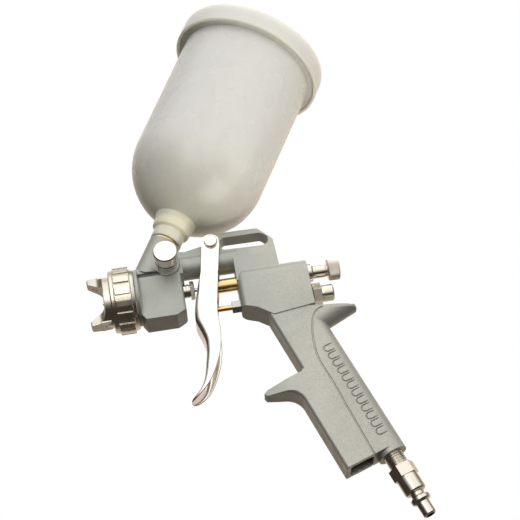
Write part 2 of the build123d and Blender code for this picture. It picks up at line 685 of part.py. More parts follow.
def front_view(inset):
    """Outline of the trigger seen from in front, narrowing to the tip."""
    w = trg_out - inset
    with BuildSketch(Plane(origin=(40, 0, 0), x_dir=(0, 1, 0), z_dir=(1, 0, 0))) as fv:
        with BuildLine():
            a = Line((-w, 40), (-w, -58.0))
            b = Spline(a @ 1, (-w + 0.35, -66.0), (-w + 1.4, -71.6), (-w + 3.8, -75.6), (-w + 6.8, -77.7),
                       (0, -78.6), (w - 6.8, -77.7), (w - 3.8, -75.6), (w - 1.4, -71.6), (w - 0.35, -66.0),
                       (w, -58.0), tangents=((0, -1), (0, 1)))
            Polyline(b @ 1, (w, 40), (-w, 40))
        make_face()
    return fv.sketch


with BuildPart() as trigger_hollow:
    with BuildSketch(Plane.XZ):
        with BuildLine():
            inner = Spline(*inner_pts)
            Polyline(inner @ 1, (50.0, -81.0), (60.0, -81.0), (95.0, -50.0), (95.0, 45.0), (50.0, 45.0),
                     (50.0, 7.2), inner @ 0)
        make_face()
    extrude(amount=trg_in, both=True)
    extrude(front_view(trg_out - trg_in), amount=60, mode=Mode.INTERSECT)

with BuildPart() as trigger:
    with BuildSketch(Plane.XZ):
        with BuildLine():
            front = Spline(*front_pts)
            tip = ThreePointArc(front @ 1, (44.7, -77.1), (45.9, -77.8))
            rear = Spline(tip @ 1, (50.6, -75.2), (55.2, -71.3), (59.6, -65.8), (63.1, -59.0), (66.1, -51.8),
                          (68.2, -43.5), (69.1, -34.0), (69.1, -26.0), (69.9, -17.0), (71.4, -8.5), (73.8, 5.5),
                          (77.0, 23.6))
            top = Polyline(rear @ 1, (77.6, 28.2))
            head = ThreePointArc(top @ 1, (piv_x - 0.2, piv_z + 5.7), (66.5, 28.2))
            Polyline(head @ 1, (66.3, 27.0), front @ 0)
        make_face()
    extrude(amount=trg_out, both=True)
    extrude(front_view(0.0), amount=60, mode=Mode.INTERSECT)
    add(trigger_hollow.part, mode=Mode.SUBTRACT)
    # needle slot through the web, long enough for the swing
    with BuildSketch(across(54.0)):
        with Locations((0, 1.1)):
            SlotOverall(7.4, 4.4, rotation=90)
    extrude(amount=10.0, mode=Mode.SUBTRACT)
    # pivot holes
    with BuildSketch(PIV_PLANE):
        with BuildLine():
            Polyline((0, -12), (piv_r + fit, -12), (piv_r + fit, 12), (0, 12), close=True)
        make_face()
    revolve(axis=PIV_AXIS, mode=Mode.SUBTRACT)
trigger.part.label = "trigger"

with BuildPart() as pivot_bolt:
    with BuildSketch(PIV_PLANE):
        with BuildLine():
            Polyline((0, -13.2), (2.0, -13.2), (piv_r, -12.8), (piv_r, 10.3), (4.3, 10.3), (4.3, 11.4), (3.7, 12.0),
                     (0, 12.3), close=True)
        make_face()
    revolve(axis=PIV_AXIS)
pivot_bolt.part.label = "pivot_bolt"

with BuildPart() as pivot_nut:
    with BuildSketch(Plane(origin=(piv_x, 10.3, piv_z), x_dir=(1, 0, 0), z_dir=(0, 1, 0))):
        RegularPolygon(4.6, 6, major_radius=True)
        Circle(piv_r + 0.01, mode=Mode.SUBTRACT)
    extrude(amount=2.6)
pivot_nut.part.label = "pivot_nut"

# ---------------------------------------------------------------------------
# cup
# ---------------------------------------------------------------------------
with BuildPart() as cup_adaptor:
    with BuildSketch(CUP_PLANE):
        with BuildLine():
            Polyline((3.6, t_joint - 9.8), (5.95, t_joint - 9.8), (5.95, t_joint + 0.02), (9.8, t_joint + 0.02),
                     (9.8, t_joint + 1.0), (5.95, t_joint + 1.0), (5.95, t_joint + 9.5), (3.6, t_joint + 9.5),
                     close=True)
        make_face()
    revolve(axis=CUP_AXIS)
cup_adaptor.part.label = "cup_adaptor"

with BuildPart() as cup_gasket:
    with BuildSketch(CUP_PLANE):
        with BuildLine():
            Polyline((6.1, t_joint + 1.02), (9.4, t_joint + 1.02), (9.4, t_joint + 1.7), (6.1, t_joint + 1.7), close=True)
        make_face()
    revolve(axis=CUP_AXIS)
cup_gasket.part.label = "cup_gasket"

t_rim = t_lid1 - 3.2
ri = cup_r_lo - cup_wall
s45 = math.sqrt(0.5)
with BuildPart() as cup:
    with BuildSketch(CUP_PLANE) as csk:
        with BuildLine():
            a0 = math.radians(-72.0)
            o0 = (cup_r_lo * math.cos(a0), t_sphere + cup_r_lo * math.sin(a0))
            b0 = math.radians(-80.0)
            i0 = (ri * math.cos(b0), t_sphere + ri * math.sin(b0))
            # outside, from the neck face up
            Polyline((6.05, t_joint + 1.75), (10.2, t_joint + 1.75), (10.2, t_joint + 9.2), (12.2, t_joint + 10.2),
                     (12.6, t_joint + 12.6), (12.6, t_joint + 15.6), o0)
            ThreePointArc(o0, (cup_r_lo * math.cos(math.radians(-35)), t_sphere + cup_r_lo * math.sin(math.radians(-35))),
                          (cup_r_lo, t_sphere))
            Polyline((cup_r_lo, t_sphere), (cup_r_hi, t_lid0 + 0.6), (lid_r - 2.3, t_lid0 + 1.2), (lid_r - 2.3, t_lid0 + 3.0),
                     (cup_r_hi + 0.2, t_lid0 + 3.6), (cup_r_hi + 0.2, t_rim), (cup_r_hi - cup_wall, t_rim),
                     (ri, t_sphere))
            ThreePointArc((ri, t_sphere), (ri * math.cos(math.radians(-40)), t_sphere + ri * math.sin(math.radians(-40))), i0)
            Polyline(i0, (5.4, t_joint + 15.0), (5.4, t_joint + 10.5), (6.05, t_joint + 10.0), (6.05, t_joint + 1.75))
        make_face()
    revolve(axis=CUP_AXIS)
cup.part.label = "cup"

with BuildPart() as cup_strainer:
    with BuildSketch(CUP_PLANE):
        with BuildLine():
            Polyline((4.4, t_joint + 11.0), (5.0, t_joint + 11.0), (5.0, t_joint + 17.6), (7.4, t_joint + 22.0),
                     (7.4, t_joint + 22.8), (4.4, t_joint + 22.8), (4.4, t_joint + 34.0), (0, t_joint + 34.0),
                     (0, t_joint + 33.2), (3.7, t_joint + 33.2), (3.7, t_joint + 20.0), (4.4, t_joint + 17.6),
                     close=True)
        make_face()
    revolve(axis=CUP_AXIS)
    for k in range(3):
        with BuildSketch(up_cup(t_joint + 24.2 + 3.0 * k)):
            for a in range(3):
                Rectangle(12.0, 1.0, rotation=60.0 * a)
            Circle(2.4, mode=Mode.SUBTRACT)
        extrude(amount=2.0, mode=Mode.SUBTRACT)
cup_strainer.part.label = "cup_strainer"

with BuildPart() as cup_lid:
    with BuildSketch(CUP_PLANE) as lsk:
        with BuildLine():
            Polyline((0, t_lid1 - 2.4), (42.6, t_lid1 - 2.4), (42.6, t_lid1 - 8.0), (43.4, t_lid1 - 8.0),
                     (43.4, t_lid1 - 2.8), (46.6, t_lid1 - 2.8), (lid_r - 1.8, t_lid1 - 4.0), (lid_r - 1.8, t_lid0),
                     (lid_r - 0.6, t_lid0), (lid_r, t_lid0 + 0.6), (lid_r, t_lid1 - 1.6), (lid_r - 1.6, t_lid1), (45.6, t_lid1),
                     (44.4, t_lid1 - 0.9), (0, t_lid1 - 0.9), close=True)
        make_face()
    revolve(axis=CUP_AXIS)
    # vent seat
    with BuildSketch(up_cup(t_lid1 - 1.2)):
        with Locations((-22.0, 0)):
            Circle(5.0)
    extrude(amount=1.2)
    with BuildSketch(up_cup(t_lid1 - 5.0)):
        with Locations((-22.0, 0)):
            Circle(1.6)
    extrude(amount=8.0, mode=Mode.SUBTRACT)
cup_lid.part.label = "cup_lid"

with BuildPart() as lid_vent_plug:
    with BuildSketch(Plane(origin=CUP_PLANE.from_local_coords((-22.0, 0, 0)), x_dir=(cc, 0, -cs), z_dir=(0, -1, 0))):
        with BuildLine():
            Polyline((0, t_lid1 - 4.2), (1.5, t_lid1 - 4.2), (1.55, t_lid1 + 0.05), (3.6, t_lid1 + 0.05),
                     (3.6, t_lid1 + 1.6), (2.8, t_lid1 + 2.4), (0, t_lid1 + 2.4), close=True)
        make_face()
    revolve(axis=Axis(tuple(CUP_PLANE.from_local_coords((-22.0, 0, 0))), (cs, 0, cc)))
lid_vent_plug.part.label = "lid_vent_plug"

# ---------------------------------------------------------------------------
# air inlet
# ---------------------------------------------------------------------------
with BuildPart() as inlet_plug:
    with BuildSketch(HAN_PLANE):
        with BuildLine():
            pts = [(2.9, 13.0), (5.95, 13.0), (5.95, 0.4)]
            for k in range(6):
                u0 = -0.2 - 1.3 * k
                pts += [(5.95, u0), (5.4, u0 - 0.45), (5.4, u0 - 0.65), (5.95, u0 - 1.1)]
            pts += [(5.95, -8.3), (6.6, -8.3), (6.6, -15.6), (6.6, -25.2), (5.8, -26.0), (4.1, -26.6),
                    (4.1, -28.6), (5.0, -29.0), (5.95, -29.8), (5.95, -31.8), (5.2, -32.4), (3.95, -33.0),
                    (3.95, -40.7), (3.3, -41.4), (2.9, -41.4)]
            Polyline(*pts, close=True)
        make_face()
    revolve(axis=HAN_AXIS)
    with BuildSketch(up_handle(-15.5)) as hx:
        RegularPolygon(8.05, 6, major_radius=True)
        Circle(4.0, mode=Mode.SUBTRACT)
    extrude(amount=7.2)
inlet_plug.part.label = "inlet_plug"

for piece in (gun_body, fluid_nozzle, air_baffle, air_cap, retaining_ring, fluid_needle, needle_packing,
              needle_packing_nut, needle_sleeve, needle_lock_nut, needle_spring, needle_spring_seat,
              needle_guide_bush, fluid_knob, air_valve_gland, air_valve_packing, air_valve_stem, air_valve_seat,
              air_valve_poppet, air_valve_spring, air_valve_cap_gasket, air_valve_cap, fan_valve_housing,
              fan_stem, fan_stem_seal, fan_knob, trigger, pivot_bolt, pivot_nut, cup_adaptor, cup_gasket, cup,
              cup_strainer, cup_lid, lid_vent_plug, inlet_plug):
    export_step(piece.part, "parts/" + piece.part.label + ".step")
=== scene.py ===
import math

import bmesh
import bpy
from mathutils import Matrix, Vector


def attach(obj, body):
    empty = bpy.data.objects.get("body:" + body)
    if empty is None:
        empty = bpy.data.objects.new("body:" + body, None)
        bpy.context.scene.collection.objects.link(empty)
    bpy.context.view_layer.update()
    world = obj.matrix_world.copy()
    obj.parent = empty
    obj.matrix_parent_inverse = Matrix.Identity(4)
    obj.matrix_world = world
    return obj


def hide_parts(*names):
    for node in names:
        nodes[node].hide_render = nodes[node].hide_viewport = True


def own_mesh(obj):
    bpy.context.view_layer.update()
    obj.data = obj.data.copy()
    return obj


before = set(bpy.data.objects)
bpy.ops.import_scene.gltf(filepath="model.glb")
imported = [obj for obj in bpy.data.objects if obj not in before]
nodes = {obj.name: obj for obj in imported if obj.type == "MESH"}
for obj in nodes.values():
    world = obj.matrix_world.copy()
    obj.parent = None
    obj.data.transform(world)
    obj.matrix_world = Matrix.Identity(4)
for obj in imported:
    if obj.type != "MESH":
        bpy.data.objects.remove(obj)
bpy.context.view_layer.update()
scene = bpy.context.scene
scene.view_settings.view_transform = "Standard"
scene.view_settings.look = "None"
scene.view_settings.exposure = 0.0

# ---------------------------------------------------------------------------
# camera, at the angle the gun is seen from: a little below and almost square on
# ---------------------------------------------------------------------------
elev, azim, roll, dist = math.radians(-30.5), math.radians(-5.2), math.radians(11.204), 0.850
target = Vector((0.101866, 0.0, 0.014782))
back = Vector((math.sin(azim) * math.cos(elev), -math.cos(azim) * math.cos(elev), math.sin(elev)))
right = (-back).cross(Vector((0, 0, 1))).normalized()
up = right.cross(-back)
cam_x = math.cos(roll) * right - math.sin(roll) * up
cam_y = math.sin(roll) * right + math.cos(roll) * up
cam_data = bpy.data.cameras.new("camera")
cam_data.sensor_width = 36.0
cam_data.lens = 1330.0 / 520.0 * 36.0
cam_data.clip_start, cam_data.clip_end = 0.02, 60.0
camera = bpy.data.objects.new("camera", cam_data)
scene.collection.objects.link(camera)
rot = Matrix((cam_x, cam_y, back)).transposed()
camera.matrix_world = Matrix.Translation(target + back * dist) @ rot.to_4x4()
scene.camera = camera

# ---------------------------------------------------------------------------
# material helpers
# ---------------------------------------------------------------------------


class Mat:
    """A small node tree builder round one Principled shader."""

    def __init__(self, name):
        self.m = bpy.data.materials.new(name)
        self.m.use_nodes = True
        self.t = self.m.node_tree
        self.t.nodes.clear()
        self.out = self.t.nodes.new("ShaderNodeOutputMaterial")
        self.b = self.t.nodes.new("ShaderNodeBsdfPrincipled")
        self.t.links.new(self.b.outputs[0], self.out.inputs[0])
        self.tc = self.t.nodes.new("ShaderNodeTexCoord")
        self.bev = None

    def n(self, kind, **props):
        node = self.t.nodes.new(kind)
        for k, v in props.items():
            setattr(node, k, v)
        return node

    def link(self, a, b):
        self.t.links.new(a, b)

    def setv(self, **vals):
        for k, v in vals.items():
            self.b.inputs[k.replace("_", " ")].default_value = v

    def noise(self, scale, detail=3.0, rough=0.55, stretch=None, dist_=0.0):
        nz = self.n("ShaderNodeTexNoise")
        nz.inputs["Scale"].default_value = scale
        nz.inputs["Detail"].default_value = detail
        nz.inputs["Roughness"].default_value = rough
        nz.inputs["Distortion"].default_value = dist_
        if stretch:
            mp = self.n("ShaderNodeMapping")
            mp.inputs["Scale"].default_value = stretch
            self.link(self.tc.outputs["Object"], mp.inputs["Vector"])
            self.link(mp.outputs[0], nz.inputs["Vector"])
        else:
            self.link(self.tc.outputs["Object"], nz.inputs["Vector"])
        return nz.outputs["Fac"]

    def remap(self, src, a, b, lo, hi, smooth=False):
        r = self.n("ShaderNodeMapRange")
        r.interpolation_type = "SMOOTHSTEP" if smooth else "LINEAR"
        for i, v in zip(("From Min", "From Max", "To Min", "To Max"), (a, b, lo, hi)):
            r.inputs[i].default_value = v
        self.link(src, r.inputs["Value"])
        return r.outputs["Result"]

    def math(self, op, a, b=None):
        q = self.n("ShaderNodeMath", operation=op)
        for i, v in enumerate((a, b)):
            if v is None:
                continue
            if isinstance(v, (int, float)):
                q.inputs[i].default_value = v
            else:
                self.link(v, q.inputs[i])
        return q.outputs[0]

    def mix(self, fac, a, b, blend="MIX"):
        q = self.n("ShaderNodeMix", data_type="RGBA", blend_type=blend)
        for sock, v in ((q.inputs[0], fac), (q.inputs[6], a), (q.inputs[7], b)):
            if isinstance(v, (int, float)):
                sock.default_value = v
            elif isinstance(v, tuple):
                sock.default_value = v if len(v) == 4 else (*v, 1.0)
            else:
                self.link(v, sock)
        return q.outputs[2]

    def axis(self, which):
        """One coordinate of the row frame, in metres."""
        s = self.n("ShaderNodeSeparateXYZ")
        self.link(self.tc.outputs["Object"], s.inputs[0])
        return s.outputs[which]

    def along(self, point, direction):
        """Distance along a line, in metres."""
        sub = self.n("ShaderNodeVectorMath", operation="SUBTRACT")
        self.link(self.tc.outputs["Object"], sub.inputs[0])
        sub.inputs[1].default_value = point
        dot = self.n("ShaderNodeVectorMath", operation="DOT_PRODUCT")
        self.link(sub.outputs[0], dot.inputs[0])
        dot.inputs[1].default_value = direction
        return dot.outputs["Value"]

    def bevel(self, radius, samples=6):
        self.bev = self.n("ShaderNodeBevel", samples=samples)
        self.bev.inputs["Radius"].default_value = radius
        return self.bev.outputs[0]

    def edges(self, lo=0.90, hi=0.995):
        """1 on convex and concave edges, 0 on open faces, from the rounded normal."""
        geo = self.n("ShaderNodeNewGeometry")
        dot = self.n("ShaderNodeVectorMath", operation="DOT_PRODUCT")
        self.link(geo.outputs["Normal"], dot.inputs[0])
        self.link(self.bev.outputs[0], dot.inputs[1])
        return self.remap(dot.outputs["Value"], lo, hi, 1.0, 0.0, True)

    def bump(self, height, strength, distance, normal=None):
        q = self.n("ShaderNodeBump")
        q.inputs["Strength"].default_value = strength
        q.inputs["Distance"].default_value = distance
        self.link(height, q.inputs["Height"])
        if normal is not None:
            self.link(normal, q.inputs["Normal"])
        return q.outputs[0]


def painted():
    """Satin silver-grey hammer paint over a die casting."""
    k = Mat("body_paint")
    nrm = k.bevel(0.0009, 8)
    e = k.edges(0.86, 0.995)
    broad = k.noise(30.0, 3.0)
    fleck = k.noise(1500.0, 3.0, 0.6)
    peel = k.noise(620.0, 2.0, 0.5)
    col = k.mix(k.remap(broad, 0.35, 0.65, 0.0, 1.0, True), (0.392, 0.392, 0.350), (0.437, 0.436, 0.390))
    col = k.mix(k.remap(fleck, 0.54, 0.74, 0.0, 0.42), col, (0.60, 0.60, 0.55))
    col = k.mix(k.remap(fleck, 0.46, 0.26, 0.0, 0.42), col, (0.17, 0.175, 0.160))
    # the head end is a little cooler than the handle
    col = k.mix(k.remap(k.axis(0), 0.075, 0.125, 0.55, 0.0, True), col, (0.300, 0.325, 0.310))
    worn = k.math("MULTIPLY", e, k.remap(k.noise(210.0, 4.0), 0.42, 0.72, 0.15, 0.85))
    col = k.mix(worn, col, (0.58, 0.59, 0.54))
    # painted shade down inside the open foot of the handle: the hollow's colour is darkened to stand in for its shadow
    foot = k.along((0.1564, 0.0, -0.1305), (-math.sin(math.radians(18.6)), 0.0, math.cos(math.radians(18.6))))
    side = k.along((0.1564, 0.0, -0.1305), (math.cos(math.radians(18.6)), 0.0, math.sin(math.radians(18.6))))
    wide = k.math("ABSOLUTE", k.axis(1))
    inside = k.math("MULTIPLY", k.remap(side, -0.0278, -0.0268, 0.0, 1.0), k.remap(side, -0.0113, -0.0103, 1.0, 0.0))
    inside = k.math("MULTIPLY", inside, k.remap(wide, 0.0063, 0.0069, 1.0, 0.0))
    inside = k.math("MULTIPLY", inside, k.remap(foot, 0.0025, 0.0075, 0.0, 0.80, True))
    inside = k.math("MULTIPLY", inside, k.remap(foot, 0.050, 0.060, 1.0, 0.0))
    col = k.mix(inside, col, (0.050, 0.048, 0.042))
    k.link(col, k.b.inputs["Base Color"])
    k.link(k.remap(k.noise(140.0, 3.0), 0.3, 0.7, 0.38, 0.50), k.b.inputs["Roughness"])
    k.setv(Metallic=0.45)
    h = k.math("ADD", k.math("MULTIPLY", peel, 0.7), k.math("MULTIPLY", fleck, 0.3))
    k.link(k.bump(h, 0.10, 0.0003, nrm), k.b.inputs["Normal"])
    return k.m


def plated(name, base, dark, rough, axis=0, pitch=0.00032, lathe=0.04, radius=0.00035, haze=0.4, spots=0.12):
    """Nickel plate over turned or cast brass: lathe marks, faint haze and a warm bloom in the corners."""
    k = Mat(name)
    nrm = k.bevel(radius, 6)
    e = k.edges(0.80, 0.99)
    cloud = k.noise(95.0, 4.0, 0.6)
    fine = k.noise(900.0, 3.0)
    col = k.mix(k.remap(cloud, 0.35, 0.72, 0.0, haze, True), base, dark)
    col = k.mix(k.remap(fine, 0.63, 0.80, 0.0, spots), col, tuple(0.62 * c for c in dark))
    col = k.mix(k.math("MULTIPLY", e, k.remap(cloud, 0.3, 0.7, 0.1, 0.6)), col, tuple(min(1.0, 1.08 * c) for c in base))
    k.link(col, k.b.inputs["Base Color"])
    k.setv(Metallic=1.0)
    k.link(k.remap(k.noise(160.0, 4.0), 0.3, 0.7, rough * 0.75, rough * 1.35), k.b.inputs["Roughness"])
    if axis is None:
        h = k.noise(150.0, 2.0)
        k.link(k.bump(h, 0.020, 0.0004, nrm), k.b.inputs["Normal"])
    else:
        w = k.n("ShaderNodeMath", operation="SINE")
        if isinstance(axis, int):
            pos = k.axis(axis)
        else:
            pos = k.along((0, 0, 0), axis)
        k.link(k.math("MULTIPLY", pos, 2 * math.pi / pitch), w.inputs[0])
        h = k.math("ADD", k.math("MULTIPLY", w.outputs[0], 0.5), k.math("MULTIPLY", k.noise(180.0, 2.0), 0.8))
        k.link(k.bump(h, lathe, 0.00006, nrm), k.b.inputs["Normal"])
    return k.m


CUP = (math.sin(math.radians(29.5)), 0.0, math.cos(math.radians(29.5)))
CUP0 = (0.0224, 0.0, 0.0)


def milky(name, painted_shade_col, hi_col, t0, t1, sss, rough, trans):
    """Translucent blow-moulded polyethylene, darker and yellower towards the low end of the cup axis: painted shade
    where less light comes through.
    """
    k = Mat(name)
    nrm = k.bevel(0.0007, 6)
    t = k.along(CUP0, CUP)
    cloud = k.noise(22.0, 2.0)
    fine = k.noise(480.0, 3.0)
    # painted shade: colour graded along the cup axis, from the darker, yellower low end to the lighter top
    g = k.remap(t, t0, t1, 0.0, 1.0, True)
    col = k.mix(g, painted_shade_col, hi_col)
    col = k.mix(k.remap(cloud, 0.35, 0.7, 0.0, 0.16, True), col, tuple(0.94 * c for c in hi_col))
    k.link(col, k.b.inputs["Base Color"])
    k.link(k.remap(k.noise(60.0, 3.0), 0.3, 0.7, rough * 0.85, rough * 1.2), k.b.inputs["Roughness"])
    k.setv(Subsurface_Weight=sss, Subsurface_Radius=(0.016, 0.015, 0.011), Subsurface_Scale=1.0, IOR=1.5,
           Transmission_Weight=trans)
    k.link(k.bump(k.math("ADD", fine, k.noise(120.0, 2.0)), 0.04, 0.0003, nrm), k.b.inputs["Normal"])
    return k.m


def matte(name, base, rough, scale=600.0, bump=0.15):
    k = Mat(name)
    nrm = k.bevel(0.0003, 4)
    cloud = k.noise(80.0, 3.0)
    fine = k.noise(scale, 3.0)
    col = k.mix(k.remap(cloud, 0.3, 0.7, 0.0, 0.35), base, tuple(0.8 * c for c in base))
    k.link(col, k.b.inputs["Base Color"])
    k.link(k.remap(fine, 0.3, 0.7, rough * 0.85, min(1.0, rough * 1.15)), k.b.inputs["Roughness"])
    k.link(k.bump(fine, bump, 0.0003, nrm), k.b.inputs["Normal"])
    return k.m


HAN = (-math.sin(math.radians(18.6)), 0.0, math.cos(math.radians(18.6)))
paint = painted()
nickel_x = plated("nickel_turned", (0.70, 0.66, 0.59), (0.54, 0.49, 0.41), 0.20, 0)
nickel_cap = plated("nickel_air_cap", (0.60, 0.57, 0.50), (0.44, 0.40, 0.34), 0.28, None)
nickel_ring = plated("nickel_ring", (0.64, 0.605, 0.52), (0.46, 0.42, 0.35), 0.26, 0)
nickel_y = plated("nickel_fan", (0.86, 0.83, 0.77), (0.66, 0.60, 0.50), 0.22, 1, lathe=0.02)
nickel_plug = plated("nickel_plug", (0.68, 0.63, 0.56), (0.50, 0.45, 0.38), 0.20, HAN)
bright = plated("bright_trigger", (0.80, 0.775, 0.73), (0.72, 0.685, 0.63), 0.20, None, radius=0.0006, haze=0.3, spots=0.05)
brass_x = plated("brass_turned", (0.78, 0.56, 0.27), (0.58, 0.38, 0.16), 0.22, 0)
brass_cup = plated("brass_neck", (0.72, 0.56, 0.26), (0.52, 0.37, 0.15), 0.25, CUP)
gold_stem = plated("brass_stem", (0.86, 0.58, 0.28), (0.62, 0.38, 0.16), 0.20, 0)
steel_x = plated("steel_turned", (0.62, 0.61, 0.58), (0.42, 0.41, 0.38), 0.26, 0)
stainless_x = plated("stainless_turned", (0.66, 0.66, 0.66), (0.48, 0.48, 0.47), 0.18, 0)
gland_al = plated("gland_metal", (0.46, 0.47, 0.46), (0.33, 0.34, 0.33), 0.32, 0)
cup_pe = milky("cup_polyethylene", (0.74, 0.705, 0.55), (0.815, 0.792, 0.70), 0.050, 0.125, 0.60, 0.27, 0.0)
lid_pe = milky("lid_polyethylene", (0.82, 0.795, 0.66), (0.885, 0.87, 0.785), 0.190, 0.2085, 0.50, 0.34, 0.0)
white_pl = matte("white_nylon", (0.78, 0.78, 0.74), 0.45)
rubber = matte("black_rubber", (0.030, 0.030, 0.030), 0.62)

use = {
    "gun_body": paint,
    "fluid_nozzle": stainless_x, "air_baffle": white_pl, "air_cap": nickel_cap, "retaining_ring": nickel_ring,
    "fluid_needle": stainless_x, "needle_packing": white_pl, "needle_packing_nut": nickel_x,
    "needle_sleeve": brass_x, "needle_lock_nut": brass_x, "needle_spring": steel_x, "needle_spring_seat": brass_x,
    "needle_guide_bush": nickel_x, "fluid_knob": nickel_x,
    "air_valve_gland": gland_al, "air_valve_packing": white_pl, "air_valve_stem": gold_stem,
    "air_valve_seat": brass_x, "air_valve_poppet": rubber, "air_valve_spring": steel_x,
    "air_valve_cap_gasket": rubber, "air_valve_cap": nickel_x,
    "fan_valve_housing": nickel_y, "fan_stem": brass_x, "fan_stem_seal": rubber, "fan_knob": nickel_y,
    "trigger": bright, "pivot_bolt": nickel_y, "pivot_nut": nickel_y,
    "cup_adaptor": brass_cup, "cup_gasket": rubber, "cup": cup_pe, "cup_strainer": white_pl,
    "cup_lid": lid_pe, "lid_vent_plug": white_pl, "inlet_plug": nickel_plug,
}
for name, mat in use.items():
    o = nodes[name]
    if not o.material_slots:
        o.data.materials.append(mat)
    for s in o.material_slots:
        s.material = mat

# ---------------------------------------------------------------------------
# pieces built as meshes: the pressed trigger and the knurled fluid knob
# ---------------------------------------------------------------------------
MM = 0.001


def mesh_object(name, verts, faces, mat, smooth_angle=35.0):
    mesh = bpy.data.meshes.new(name)
    mesh.from_pydata([tuple(c * MM for c in v) for v in verts], [], faces)
    b = bmesh.new()
    b.from_mesh(mesh)
    bmesh.ops.remove_doubles(b, verts=b.verts, dist=1e-7)
    bmesh.ops.recalc_face_normals(b, faces=b.faces)
    b.to_mesh(mesh)
    b.free()
    mesh.polygons.foreach_set("use_smooth", [True] * len(mesh.polygons))
    mesh.set_sharp_from_angle(angle=math.radians(smooth_angle))
    mesh.materials.append(mat)
    o = bpy.data.objects.new(name, mesh)
    scene.collection.objects.link(o)
    return o


def solid_boolean(base, others, op):
    """base joined with, or cut by, the others; the others are removed."""
    for other in others:
        m = base.modifiers.new("b", "BOOLEAN")
        m.operation = op
        m.solver = "EXACT"
        m.object = other
    bpy.context.view_layer.update()
    dg = bpy.context.evaluated_depsgraph_get()
    made = bpy.data.meshes.new_from_object(base.evaluated_get(dg), preserve_all_data_layers=True, depsgraph=dg)
    base.modifiers.clear()
    old = base.data
    base.data = made
    bpy.data.meshes.remove(old)
    for other in others:
        d = other.data
        bpy.data.objects.remove(other)
        bpy.data.meshes.remove(d)
    b = bmesh.new()
    b.from_mesh(made)
    bmesh.ops.remove_doubles(b, verts=b.verts, dist=2e-6)
    bmesh.ops.dissolve_degenerate(b, edges=b.edges, dist=1e-6)
    seen, crumbs = set(), []
    for start in b.faces:
        if start in seen:
            continue
        island, todo = [], [start]
        seen.add(start)
        while todo:
            face = todo.pop()
            island.append(face)
            for edge in face.edges:
                for other_face in edge.link_faces:
                    if other_face not in seen:
                        seen.add(other_face)
                        todo.append(other_face)
        if len(island) < 12:
            crumbs += island
    if crumbs:
        bmesh.ops.delete(b, geom=crumbs, context="FACES")
    b.to_mesh(made)
    b.free()
    made.polygons.foreach_set("use_smooth", [True] * len(made.polygons))
    made.set_sharp_from_angle(angle=math.radians(35.0))
    return base


def catmull(rows, steps):
    """Rows of numbers joined smoothly, steps to a gap."""
    out = []
    n = len(rows)
    for i in range(n - 1):
        p0, p1, p2, p3 = rows[max(i - 1, 0)], rows[i], rows[i + 1], rows[min(i + 2, n - 1)]
        for k in range(steps):
            t = k / steps
            out.append([0.5 * (2 * b + (c - a) * t + (2 * a - 5 * b + 4 * c - d) * t * t
                               + (3 * b - a - 3 * c + d) * t * t * t) for a, b, c, d in zip(p0, p1, p2, p3)])
    out.append(list(rows[-1]))
    return out


# front x, front z, rear x, rear z, half width, corner radius, web thickness
stations = [
    (62.9, 7.2, 74.05, 7.2, 10.1, 0.35, 1.45), (61.5, 3.1, 73.35, 2.6, 10.1, 0.8, 1.45),
    (60.0, -1.0, 72.6, -2.0, 10.1, 1.6, 1.45), (57.2, -10.7, 71.0, -10.6, 10.1, 3.2, 1.45),
    (55.3, -19.1, 69.7, -18.6, 10.1, 4.1, 1.45), (55.0, -26.2, 69.1, -26.0, 10.1, 4.3, 1.45),
    (57.0, -33.2, 69.1, -34.2, 10.1, 4.3, 1.45), (58.7, -40.5, 68.3, -42.6, 10.1, 4.1, 1.45),
    (58.4, -48.0, 66.5, -50.4, 10.1, 3.9, 1.45), (57.0, -55.5, 63.7, -57.6, 10.05, 3.6, 1.45),
    (55.5, -62.5, 60.1, -64.9, 9.85, 3.0, 1.4), (53.6, -68.0, 56.0, -70.5, 9.3, 2.3, 1.35),
    (50.6, -72.4, 51.6, -74.4, 8.1, 1.7, 1.2), (47.7, -74.8, 48.5, -76.5, 6.5, 1.4, 1.1),
    (45.7, -76.1, 46.2, -77.5, 4.4, 1.1, 1.0), (44.95, -76.8, 45.15, -77.5, 2.2, 0.5, 0.62),
]


def trigger_ring(fx, fz, rx, rz, w, rc, tw):
    """Closed section of the pressed channel between its front and rear line."""
    dx, dz = rx - fx, rz - fz
    depth = math.hypot(dx, dz)
    ux, uz = dx / depth, dz / depth
    plate = min(1.4, w * 0.45)
    rc = max(0.2, min(rc, depth - 0.15, w - plate))
    ri = max(0.15, rc - 1.1)
    inner_d = min(tw, depth * 0.86)
    ri = min(ri, max(0.05, depth - inner_d - 0.05))
    rim = min(0.5, max(0.03, (depth - inner_d) * 0.8))
    half = []  # from the middle of the web outside, round to the middle inside, on the +Y side
    for k in range(5):
        half.append((0.0, (w - rc) * k / 5.0))
    for k in range(9):
        a = math.pi / 2 * k / 8
        half.append((rc - rc * math.cos(a), w - rc + rc * math.sin(a)))
    start = rc
    end = max(start + 0.02, depth - rim)
    for k in range(1, 5):
        half.append((start + (end - start) * k / 4.0, w))
    for k in range(1, 7):
        a = math.pi * k / 7
        half.append((end + (depth - end) * math.sin(a), w - plate / 2 + plate / 2 * math.cos(a)))
    i_end = inner_d + ri
    top = max(end, i_end + 0.01)
    for k in range(5):
        half.append((top + (i_end - top) * k / 4.0, w - plate))
    for k in range(1, 9):
        a = math.pi / 2 * k / 8
        half.append((inner_d + ri - ri * math.sin(a), w - plate - ri + ri * math.cos(a)))
    for k in range(1, 6):
        half.append((inner_d, (w - plate - ri) * (1 - k / 5.0)))
    ring = [(d, y) for d, y in half] + [(d, -y) for d, y in reversed(half[1:-1])]
    return [(fx + ux * d, y, fz + uz * d) for d, y in ring]


rings = [trigger_ring(*row) for row in catmull(stations, 7)]
n_ring = len(rings[0])
t_verts = [p for ring in rings for p in ring]
t_faces = []
for i in range(len(rings) - 1):
    for j in range(n_ring):
        k = (j + 1) % n_ring
        t_faces.append((i * n_ring + j, i * n_ring + k, (i + 1) * n_ring + k, (i + 1) * n_ring + j))


